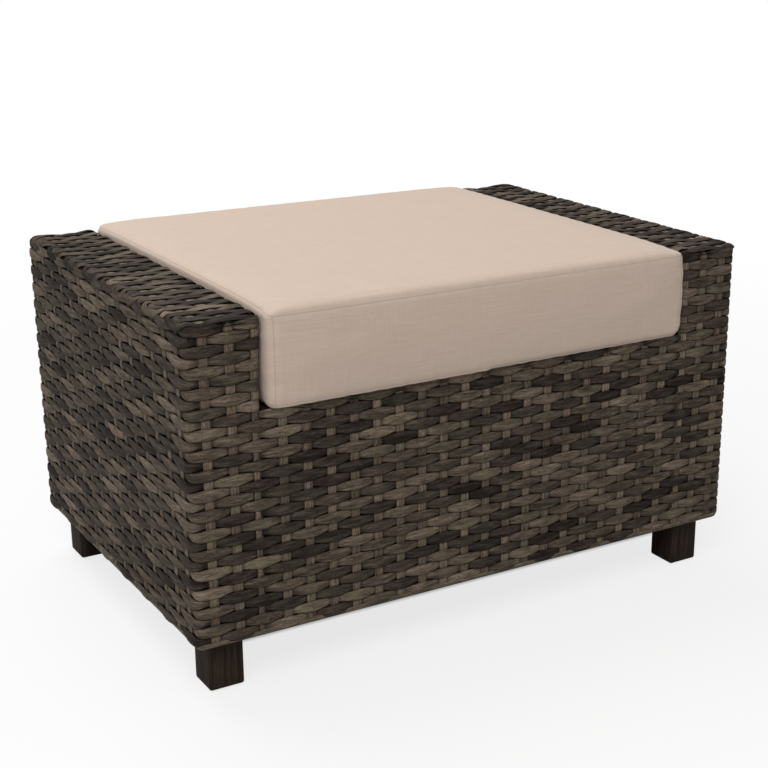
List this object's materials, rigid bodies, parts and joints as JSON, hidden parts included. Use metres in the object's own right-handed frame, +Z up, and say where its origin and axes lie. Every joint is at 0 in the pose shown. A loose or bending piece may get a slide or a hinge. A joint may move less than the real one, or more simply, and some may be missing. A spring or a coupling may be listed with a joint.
{
  "type": "outdoor ottoman footstool",
  "caption": "Woven wicker box ottoman with two raised arms, a lift-out box cushion between them and short square legs.",
  "frame": {"origin": "on the floor, under the centre of the ottoman", "axes": "+X to the right arm seen from the front, +Y from the front to the back, +Z up"},
  "size_m": [0.76, 0.5437, 0.4468],
  "materials": {
    "wicker": "woven flat strands of grey-brown resin wicker with a fine lengthwise grain",
    "deck_wicker": "wider woven strands of dark resin wicker",
    "frame_paint": "dark brown powder coat on aluminium tube",
    "leg_wood": "dark stained hardwood with upright grain",
    "bolt_steel": "zinc plated",
    "glide_plastic": "moulded black plastic",
    "cushion_fabric": "beige slubbed plain weave",
    "foam": "open-cell foam",
    "zip_tape": "woven tape with a moulded chain",
    "zip_metal": "satin cast metal"
  },
  "bodies": {
    "frame": {"front_weave": "wicker", "back_weave": "wicker", "left_side_weave": "wicker", "right_side_weave": "wicker", "left_arm_front_weave": "wicker", "left_arm_back_weave": "wicker", "right_arm_front_weave": "wicker", "right_arm_back_weave": "wicker", "left_arm_top_weave": "wicker", "right_arm_top_weave": "wicker", "left_arm_inner_weave": "wicker", "right_arm_inner_weave": "wicker", "seat_deck_weave": "deck_wicker", "post_front_left": "frame_paint", "post_back_left": "frame_paint", "post_front_right": "frame_paint", "post_back_right": "frame_paint", "inner_post_front_left": "frame_paint", "inner_post_back_left": "frame_paint", "inner_post_front_right": "frame_paint", "inner_post_back_right": "frame_paint", "arm_end_rail_front_left": "frame_paint", "arm_end_rail_back_left": "frame_paint", "arm_end_rail_front_right": "frame_paint", "arm_end_rail_back_right": "frame_paint", "arm_outer_rail_left": "frame_paint", "arm_outer_rail_right": "frame_paint", "arm_inner_rail_left": "frame_paint", "arm_inner_rail_right": "frame_paint", "bottom_rail_front": "frame_paint", "bottom_rail_back": "frame_paint", "bottom_rail_left": "frame_paint", "bottom_rail_right": "frame_paint", "seat_rail_front": "frame_paint", "seat_rail_back": "frame_paint", "seat_rail_left": "frame_paint", "seat_rail_right": "frame_paint", "seat_cross_rail_left": "frame_paint", "seat_cross_rail_right": "frame_paint", "leg_plate_front_left": "frame_paint", "leg_plate_back_left": "frame_paint", "leg_plate_front_right": "frame_paint", "leg_plate_back_right": "frame_paint", "leg_front_left": "leg_wood", "leg_back_left": "leg_wood", "leg_front_right": "leg_wood", "leg_back_right": "leg_wood", "leg_bolt_front_left": "bolt_steel", "leg_bolt_back_left": "bolt_steel", "leg_bolt_front_right": "bolt_steel", "leg_bolt_back_right": "bolt_steel", "glide_front_left": "glide_plastic", "glide_back_left": "glide_plastic", "glide_front_right": "glide_plastic", "glide_back_right": "glide_plastic"},
    "cushion": {"cushion_cover": "cushion_fabric", "foam_core": "foam", "zip_tape": "zip_tape"},
    "zip_slider": {"zip_slider": "zip_metal"},
    "zip_pull": {"zip_pull": "zip_metal"}
  },
  "joints": [
    {"name": "cushion_lift", "type": "slide", "parent": "frame", "child": "cushion", "axis": [0, 0, 1], "range_m": [0, 0.16]},
    {"name": "zip_slide", "type": "slide", "parent": "cushion", "child": "zip_slider", "axis": [1, 0, 0], "range_m": [-0.47, 0]},
    {"name": "zip_pull_hinge", "type": "hinge", "parent": "zip_slider", "child": "zip_pull", "pos_m": [0.235, 0.2698, 0.3868], "axis": [0, 0, 1], "range_deg": [-180, 0]}
  ]
}
